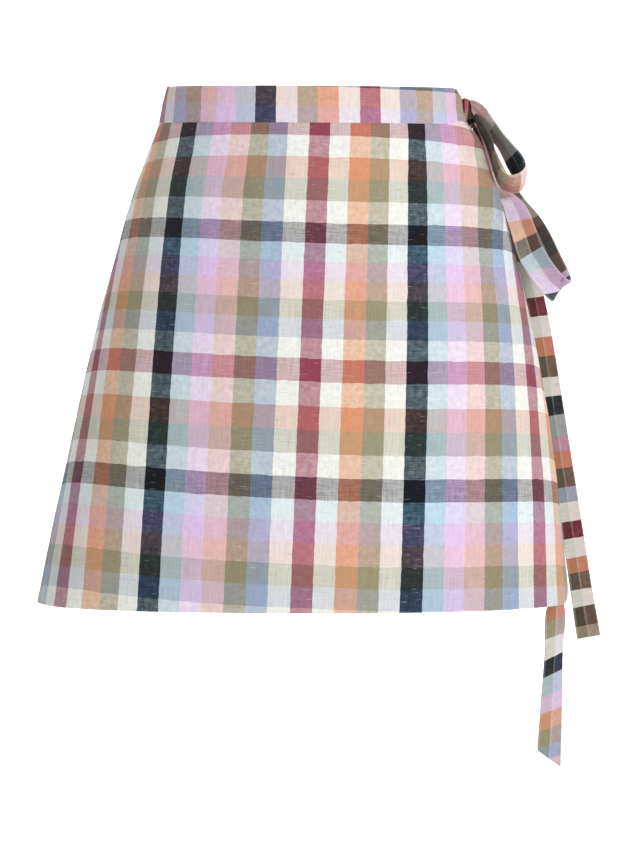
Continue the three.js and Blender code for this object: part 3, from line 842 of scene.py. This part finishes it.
def flatten_at_seam(height, angle, level):
    """The cloth lies flatter towards the waist seam and goes in behind the band."""
    below = waist_seam(angle) - level
    relief = SEAM_RELIEF + (1 - SEAM_RELIEF) * smooth(below, -1, 15)
    return height * relief - SEAM_TUCK * (1 - smooth(below, -1, 4))


def seam_dip(angle, across, edges, depth=0.7, reach=1.8):
    """The cloth turns in at a sewn edge."""
    dip = np.zeros(np.shape(across))
    for edge in edges:
        line = across[0 if edge == "start" else -1, :]
        dip += depth * np.exp(-(((across - line[None, :]) / reach) ** 2))
    return dip


PANEL_TUCK = 1.6  # the panels run up behind the waistband this far


def panel_top(angle):
    return waist_seam(angle) + PANEL_TUCK


def front_hem(angle):
    t = np.clip((angle - (FREE_EDGE - CORNER_ANGLE)) / CORNER_ANGLE, 0, 1)
    return HEM_LEVEL + CORNER_RISE * (1 - np.sqrt(1 - t * t))


UNDER_CENTRE = 40  # the inner lap's own middle, in degrees
UNDER_SHIFT = (40, -30)  # where the check falls on the pieces that the photo doesn't show
BACK_SHIFT = (30, 8)


def level_line(value):
    return lambda angle: np.full(np.shape(angle), float(value))


def front_panel(material):
    angle, level = wall_grid(FRONT_START, FREE_EDGE, panel_top, front_hem, PANEL_STEP, PANEL_MIDDLE)
    plain = on_body(angle, level, -lap_lift(angle, level))
    u, v, across = front_weave(plain, angle)
    height = crease_height(FRONT_CREASES, angle, level, across) + ripple(across, level, 3)
    height = flatten_at_seam(height, angle, level)
    height -= seam_dip(angle, across, ["start"])
    outer = plain + section(angle, level)[1] * height[..., None]
    place = np.stack([u + MAROON_MIDDLE, v - WEFT_START], -1)
    return make_piece("front_cloth", [cloth_shell(outer, place, CLOTH)], material)


def under_panel(material):
    hem = level_line(HEM_LEVEL + UNDER_HEM_RISE)
    angle, level = wall_grid(UNDER_EDGE, UNDER_END, panel_top, hem, PANEL_STEP, PANEL_MIDDLE)
    plain = on_body(angle, level, lap_inset(level))
    u, v, across = panel_weave(plain, angle, centre=UNDER_CENTRE, lean=0.01)
    height = crease_height(UNDER_CREASES, angle, level, across) + ripple(across, level, 5)
    height = np.minimum(height, 0.8) - seam_dip(angle, across, ["end"])
    outer = plain + section(angle, level)[1] * height[..., None]
    place = np.stack([u + UNDER_SHIFT[0], v + UNDER_SHIFT[1]], -1)
    return make_piece("under_cloth", [cloth_shell(outer, place, CLOTH)], material)


def back_panel(material):
    angle, level = wall_grid(BACK_START, BACK_END, panel_top, level_line(HEM_LEVEL), PANEL_STEP, PANEL_MIDDLE)
    plain = on_body(angle, level, lap_inset(level) * side_blend(angle))
    u, v, across = panel_weave(plain, angle, centre=180, lean=-0.012)
    height = crease_height(BACK_CREASES, angle, level, across) + ripple(across, level, 8)
    height = flatten_at_seam(height, angle, level)
    height -= seam_dip(angle, across, ["start", "end"])
    outer = plain + section(angle, level)[1] * height[..., None]
    place = np.stack([u + MAROON_MIDDLE + BACK_SHIFT[0], v - WEFT_START + BACK_SHIFT[1]], -1)
    return make_piece("back_cloth", [cloth_shell(outer, place, CLOTH)], material)


# -------- waistband

BAND_SWELL = 0.45  # the band is a little fuller along its middle
BAND_CORNER_START = 63
BAND_CORNER_DROP = 6.5


def band_wall(name, start, end, inset, creases, centre, material, place_of, corner=False, swell=BAND_SWELL):
    def top(angle):
        drop = BAND_CORNER_DROP * smooth(angle, BAND_CORNER_START, BAND_END + 3) ** 1.5 if corner else 0
        return waist_seam(angle) + BAND_HEIGHT - drop

    angle, level = wall_grid(start, end, top, waist_seam, BAND_STEP, BAND_MIDDLE)
    plain = on_body(angle, level, inset(angle) if callable(inset) else np.full(angle.shape, float(inset)))
    across = run_lengths(plain[..., :2], 0)
    across = across - at_angle(across, angle, centre)[None, :]
    rise = (level - waist_seam(angle)) / BAND_HEIGHT
    height = crease_height(creases, angle, level, across) + ripple(across, level, 11) * 0.5
    height = height * np.sin(np.clip(rise, 0, 1) * math.pi) + swell * (1 - (2 * rise - 1) ** 4)
    outer = plain + section(angle, level)[1] * (height - swell)[..., None]
    down = BAND_HEIGHT * (1 - rise)
    place = np.stack(place_of(across, down), -1)
    return make_piece(name, [cloth_shell(outer, place, BAND_CLOTH)], material)


BAND_MAROON_AT = 45.9  # middle of the waistband's maroon band, round from centre front
BAND_RUN = [(name, BAND_PITCH) for name in (
    "maroon", "cream", "peri", "sage", "blush", "lilac", "sky", "navy", "cream", "olive", "coral", "cream",
    "maroon", "cream", "peri", "olive", "sky", "lilac", "sage", "peri",
)]
BAND_RUN_MAROON = 12.5 * BAND_PITCH
BAND_WEFT_RUN = [("blush", 16.5), ("lilac", 16.5), ("sky", 16.5), ("navy", 17)]


def front_band_place(across, down):
    return across - BAND_MAROON_AT + BAND_RUN_MAROON, down + 0.2 + 0.03 * -across


HIDDEN_BAND_SHIFT = 52


def hidden_band_place(across, down):
    return -across + MAROON_MIDDLE, down + HIDDEN_BAND_SHIFT


def back_band_inset(angle):
    return -BAND_PROUD + (BAND_LAP_INSET + BAND_PROUD) * side_blend(angle)


# -------- ties


def smooth_row(rows, steps_per_row):
    """A centripetal curve through the rows of a table of stations, every column at once."""
    rows = np.array(rows, float)
    first = 2 * rows[0] - rows[1]
    last = 2 * rows[-1] - rows[-2]
    padded = np.vstack([first, rows, last])
    made = []
    for k in range(len(rows) - 1):
        p0, p1, p2, p3 = padded[k:k + 4]
        d0, d1, d2 = (
            max(np.linalg.norm(b[:3] - a[:3]), 1e-4) ** 0.5 for a, b in ((p0, p1), (p1, p2), (p2, p3))
        )
        t1 = ((p1 - p0) / d0 - (p2 - p0) / (d0 + d1) + (p2 - p1) / d1) * d1
        t2 = ((p2 - p1) / d1 - (p3 - p1) / (d1 + d2) + (p3 - p2) / d2) * d1
        t = np.linspace(0, 1, steps_per_row, endpoint=False)[:, None]
        made.append(
            p1 + t1 * t + (-3 * p1 + 3 * p2 - 2 * t1 - t2) * t**2 + (2 * p1 - 2 * p2 + t1 + t2) * t**3
        )
    made.append(rows[-1:])
    return np.vstack(made)


def tie_stations(rows):
    """Evenly spaced stations of a tie: places, directions across and out, widths and arches."""
    fine = smooth_row(rows, 40)
    run = run_lengths(fine[:, :3], 0)
    at = spaced(run[-1], TIE_STEP) * run[-1]
    even = np.stack([np.interp(at, run, fine[:, k]) for k in range(fine.shape[1])], -1)
    ahead = unit(np.gradient(even[:, :3], axis=0))
    wide = unit(even[:, 3:6])
    wide = unit(wide - ahead * np.sum(wide * ahead, axis=1, keepdims=True))
    return even[:, :3], wide, np.cross(wide, ahead), even[:, 6], even[:, 7], at


GROOVE = 0.32  # depth of the crease along a tie's middle
GROOVE_HALF = 0.9
EDGE_ROLL = 0.35
TIE_WRINKLES = 9
CUT_REACH = 22  # a slanted end is drawn out over this length


def tie_shell(rows, start=0.0, slant=0.0, wrinkle=0.5, seed=1, cut=0.0, late=None):
    """One stretch of tie. start and slant place its colour bands, and cut slants its end.

    late says over which stretch the slant changes, and what it becomes.
    """
    centre, wide, face, width, arch, at = tie_stations(rows)
    side = np.linspace(-1, 1, TIE_LINES + 1)
    side = np.sort(np.concatenate([side, [-0.94, 0.94, -0.06, 0.06]]))
    offset = side[None, :] * width[:, None] / 2
    random = np.random.default_rng(seed)
    bow = arch[:, None] * (1 - side[None, :] ** 2)
    for _ in range(TIE_WRINKLES):
        spot = random.uniform(0, at[-1])
        reach = random.uniform(4, 12)
        lean = random.uniform(-0.6, 0.6)
        high = wrinkle * random.uniform(-1, 1)
        away = (at[:, None] - spot + lean * offset) / reach
        bow = bow + high * np.exp(-(away**2)) * np.cos(side * 1.4)[None, :]
    bow = bow - GROOVE * np.exp(-((offset / GROOVE_HALF) ** 2))
    bow = bow - EDGE_ROLL * np.abs(side[None, :]) ** 8
    push = cut / 2 * side[None, :] * smooth(at, at[-1] - CUT_REACH, at[-1])[:, None]
    ahead = unit(np.gradient(centre, axis=0))
    outer = (
        centre[:, None, :] + wide[:, None, :] * offset[..., None]
        + face[:, None, :] * (bow + TIE_CLOTH / 2)[..., None] + ahead[:, None, :] * push[..., None]
    )
    along = at[:, None] + push
    if late:
        slant = slant + (late["slant"] - slant) * smooth(at, late["from"], late["to"])[:, None]
    place = np.stack([start + along + slant * offset, offset + TIE_HALF], -1)
    return cloth_shell(outer, place, TIE_CLOTH)


KNOT_TUCK = (132.6, -3, 4)  # the ties' ends meet in here


def from_knot(rows):
    """The same stretch begun inside the knot, and where its colour bands then start."""
    return [(*KNOT_TUCK, *rows[0][3:]), *rows], -math.dist(KNOT_TUCK, rows[0][:3])


def into_knot(rows):
    return [*rows, (*KNOT_TUCK, *rows[-1][3:])]


def inner_tail_rows():
    rows = [INNER_TAIL_START]
    for row in INNER_TAIL_ON_LAP:
        angle, level = float(row["angle"]), float(row["level"])
        inset = float(lap_inset(level)) - INNER_TAIL_STAND_OFF
        middle = on_body(np.array(angle), np.array(level), np.array(inset))
        out = section(angle, level)[1]
        rows.append((*middle, -out[1], out[0], 0, row["width"], row["arch"]))
    return rows + INNER_TAIL_FREE


# -------- knot


BINDING_ROWS = 9


def knot_core():
    """A closed, rounded, folded block, as a grid of longitudes and latitudes."""
    (cx, cy, cz), (hx, hy, hz) = KNOT["centre"], KNOT["half"]
    lat = np.linspace(-math.pi / 2, math.pi / 2, 40)
    lon = np.linspace(0, 2 * math.pi, 72)
    lon, lat = np.meshgrid(lon, lat, indexing="ij")
    x, y, z = np.cos(lat) * np.cos(lon), np.cos(lat) * np.sin(lon), np.sin(lat)
    fold = 1 - 0.1 * np.abs(np.sin(3.5 * z + 2.2 * y + 0.6)) ** 0.5 * np.cos(lat) - 0.05 * np.cos(5 * y - 2 * z)

    def swell(value):
        return np.sign(value) * np.abs(value) ** KNOT["round"]

    return np.stack([cx + hx * swell(x) * fold * 0.94, cy + hy * swell(y) * fold, cz + hz * swell(z) * fold], -1)


def welded(core):
    """The core's points and faces. Its first and last columns meet, and each pole is one point."""
    turns, rings = core.shape[0] - 1, core.shape[1] - 2
    belt = core[:-1, 1:-1].swapaxes(0, 1).reshape(-1, 3)
    points = np.concatenate([core[:1, 0], belt, core[:1, -1]])
    last = len(points) - 1

    def at(ring, i):
        return 1 + ring * turns + i % turns

    faces = [
        (at(ring, i), at(ring, i + 1), at(ring + 1, i + 1), at(ring + 1, i))
        for ring in range(rings - 1) for i in range(turns)
    ]
    for i in range(turns):
        faces.append((0, at(0, i + 1), at(0, i)))
        faces.append((last, at(rings - 1, i), at(rings - 1, i + 1)))
    return points, faces


def knot_piece(material):
    """A bunched core and the turn of tie that binds it."""
    (cx, cy, cz), (hx, _, hz) = KNOT["centre"], KNOT["half"]
    points, faces = welded(knot_core())
    places = np.stack([points[:, 2] - cz + 8, points[:, 1]], -1)
    binding = []
    for k in range(BINDING_ROWS):
        t = math.radians(-150 + 300 * k / (BINDING_ROWS - 1))
        binding.append((
            cx + (hx + 0.1) * math.cos(t), cy - 1.2 * math.sin(t), cz + (hz - 0.6) * math.sin(t) * 0.98,
            0.0, 1.0, -0.18, 10.5, 0.4,
        ))
    turn = tie_shell(binding, start=6, wrinkle=0.35, seed=21)
    return make_piece("knot_cloth", [(points, faces, places), turn], material)


# -------- camera, light and floor

CAMERA_PLACE = (0.00583, -1.896, -0.253)
CAMERA_LENS = 96
SENSOR = 36


def camera():
    data = bpy.data.cameras.new("camera")
    data.lens = CAMERA_LENS
    data.sensor_width = SENSOR
    data.clip_end = 50
    made = add_object("camera", data)
    made.location = CAMERA_PLACE
    made.rotation_euler = (math.radians(90), 0, 0)
    bpy.context.scene.camera = made


AIM = Vector((0, 0, -0.2))


def softbox(name, place, size, power, aim=AIM):
    data = bpy.data.lights.new(name, "AREA")
    data.shape = "SQUARE"
    data.size = size
    data.energy = power
    made = add_object(name, data)
    made.location = place
    made.rotation_euler = (Vector(aim) - Vector(place)).to_track_quat("-Z", "Y").to_euler()


def studio():
    world = bpy.data.worlds.new("studio")
    world.use_nodes = True
    world.node_tree.nodes["Background"].inputs["Color"].default_value = (1, 1, 1, 1)
    world.node_tree.nodes["Background"].inputs["Strength"].default_value = 0.24
    bpy.context.scene.world = world
    bpy.context.scene.view_settings.view_transform = "Standard"
    softbox("key", (1.9, -2.9, 1.0), 1.4, 78)
    softbox("fill", (-2.2, -2.4, 0.6), 2.0, 9)
    softbox("top", (0, 0.6, 2.6), 2.4, 48)
    softbox("wall", (0, 2.1, 2.2), 1.6, 110, aim=(0, 3.4, -0.2))


FLOOR_LEVEL = -0.66
FLOOR_FRONT = -4.0
WALL_AT = 3.4  # behind a camera that looks at the back
WALL_TOP = 3.0
SWEEP_RADIUS = 0.9
SWEEP_STEPS = 24
FLOOR_HALF = 4.0


def backdrop(material):
    """Floor and wall in one, with a round sweep between."""
    line = [(FLOOR_FRONT, FLOOR_LEVEL)]
    for k in range(SWEEP_STEPS + 1):
        turn = math.pi / 2 * k / SWEEP_STEPS
        line.append((
            WALL_AT - SWEEP_RADIUS + SWEEP_RADIUS * math.sin(turn),
            FLOOR_LEVEL + SWEEP_RADIUS - SWEEP_RADIUS * math.cos(turn),
        ))
    line.append((WALL_AT, WALL_TOP))
    vertices = [(x, y, z) for y, z in line for x in (-FLOOR_HALF, FLOOR_HALF)]
    faces = [(2 * k, 2 * k + 1, 2 * k + 3, 2 * k + 2) for k in range(len(line) - 1)]
    add_mesh("backdrop", vertices, faces, material)


# -------- the skirt

# Colour bands along each tie, from its start at the knot, in millimetres. The dark stretches where a loop turns
# back and where a tail leaves the knot are painted shade.
# The upper loop starts in a pink paler than the cloth's own: painted light on its top run.
UPPER_LOOP_RUN = [
    ("painted_light_pink", 18), ("cream", 10), ("haze", 13), ("mist", 16), ("navy", 22), ("blush", 12), ("clay", 12),
    ("sage", 9), ("bark", 18), ("painted_shadow", 45), ("painted_shade_plum", 40),
]
LOWER_LOOP_RUN = [
    ("maroon", 40), ("blush", 30), ("lilac", 30), ("coral", 17), ("bark", 15), ("sky", 18), ("lilac", 24),
    ("navy", 7), ("lilac", 9), ("bark", 21), ("painted_shade_pine", 15), ("painted_shadow", 20), ("painted_shade_plum", 12),
    ("sage", 25), ("bark", 20), ("blush", 80),
]
OUTER_TAIL_RUN = [
    ("painted_shadow", 33), ("clay", 30), ("bark", 37), ("painted_shade_plum", 18), ("cream", 32.5), ("wine", 15.5), ("cream", 17.5),
    ("terra", 16), ("bark", 17), ("cream", 16.5), ("navy", 16.5), ("mist", 17.5), ("mauve", 12), ("terra", 15),
    ("bark", 15), ("peri", 13), ("cream", 15), ("wine", 15.5), ("cream", 14.5), ("terra", 13), ("bark", 14),
    ("cream", 15), ("moss", 14.5), ("sage", 30),
]
INNER_TAIL_RUN = [
    ("painted_shade_plum", 60), ("painted_shadow", 60), ("bark", 40), ("maroon", 40), ("clay", 100), ("maroon", 60), ("cream", 38),
    ("terra", 17), ("olive", 14), ("cream", 16), ("navy", 14.6), ("sky", 15.8), ("lilac", 13.4), ("coral", 13.7),
    ("olive", 13.5), ("peri", 13), ("blush", 60),
]
# The knot's run is dark: painted shade for the hollow in the knot.
KNOT_RUN = [("painted_shadow", 8), ("painted_shade_plum", 6), ("rose", 4)]

LATE_SLANT = {"from": 140, "to": 172, "slant": -0.6}  # the lower loop's bands turn over in its bend


def halves(near, far):
    return [(near, TIE_HALF), (far, TIE_HALF)]


def tie_cloth(name, run, near, far, mix, seed, painted_light_tone):
    return check_cloth(name, run, halves(near, far), mix, slub=0.4, seed=seed, painted_light_tone=painted_light_tone, tie=True)


def declare(piece, node):
    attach(piece, "root")
    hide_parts(node)


def add_tie(name, node, shell, material):
    declare(make_piece(name, [shell], material), node)


def build():
    camera()
    studio()
    backdrop(plain_matte("pale_floor", 0.9))

    panel_cloth = check_cloth("panel_check", WARP_RUN, WEFT_RUN)
    hidden_cloth = check_cloth("hidden_check", WARP_RUN, WEFT_RUN, seed=50.0)
    band_cloth = check_cloth("band_check", BAND_RUN, BAND_WEFT_RUN, slub=0.7, seed=80.0)
    # the upper loop's light halves, blush and cream, are painted light too
    upper_cloth = tie_cloth("upper_loop_check", UPPER_LOOP_RUN, "blush", "cream", mix=0.2, seed=110.0, painted_light_tone=1.0)
    # the tones below 1 on the lower loop, the tails and the knot are painted shade
    lower_cloth = tie_cloth("lower_loop_check", LOWER_LOOP_RUN, "cream", "umber", mix=0.25, seed=120.0, painted_light_tone=0.93)
    outer_cloth = tie_cloth("outer_tail_check", OUTER_TAIL_RUN, "sage", "blush", mix=0.17, seed=130.0, painted_light_tone=0.87)
    inner_cloth = tie_cloth("inner_tail_check", INNER_TAIL_RUN, "sage", "lilac", mix=0.22, seed=140.0, painted_light_tone=0.92)
    knot_cloth = check_cloth(
        "knot_check", KNOT_RUN, halves("olive", "maroon"), mix=0.3, slub=0.4, seed=150.0, painted_light_tone=0.9)

    declare(front_panel(panel_cloth), "front_panel")
    declare(under_panel(hidden_cloth), "under_panel")
    declare(back_panel(hidden_cloth), "back_panel")

    band_front = band_wall(
        "band_front_cloth", FRONT_START, BAND_END, -BAND_PROUD, BAND_CREASES, 0, band_cloth, front_band_place,
        corner=True)
    declare(band_front, "waistband_front")
    band_under = band_wall(
        "band_under_cloth", UNDER_EDGE, UNDER_END, BAND_LAP_INSET, [], UNDER_CENTRE, hidden_cloth,
        hidden_band_place, swell=0.1)
    declare(band_under, "waistband_under")
    band_back = band_wall(
        "band_back_cloth", BACK_START, BACK_END, back_band_inset, BACK_BAND_CREASES, 180, hidden_cloth,
        hidden_band_place)
    declare(band_back, "waistband_back")

    lower_rows, lower_start = from_knot(LOWER_LOOP)
    outer_rows, outer_start = from_knot(OUTER_TAIL)
    inner_rows, inner_start = from_knot(inner_tail_rows())
    add_tie("root_front_cloth", "tie_root_front", tie_shell(FRONT_ROOT, start=14, wrinkle=0.2), knot_cloth)
    add_tie("root_side_cloth", "tie_root_side", tie_shell(SIDE_ROOT, start=60, wrinkle=0.2), outer_cloth)
    upper = tie_shell(into_knot(UPPER_LOOP), wrinkle=0.7, seed=4)
    add_tie("loop_upper_cloth", "tie_loop_upper", upper, upper_cloth)
    lower = tie_shell(into_knot(lower_rows), lower_start, 0.25, wrinkle=0.7, seed=5, late=LATE_SLANT)
    add_tie("loop_lower_cloth", "tie_loop_lower", lower, lower_cloth)
    outer = tie_shell(outer_rows, outer_start, wrinkle=0.6, seed=6)
    add_tie("tail_outer_cloth", "tie_tail_outer", outer, outer_cloth)
    inner = tie_shell(inner_rows, inner_start, 0.3, seed=7, cut=INNER_TAIL_CUT)
    add_tie("tail_inner_cloth", "tie_tail_inner", inner, inner_cloth)
    declare(knot_piece(knot_cloth), "tie_knot")


build()
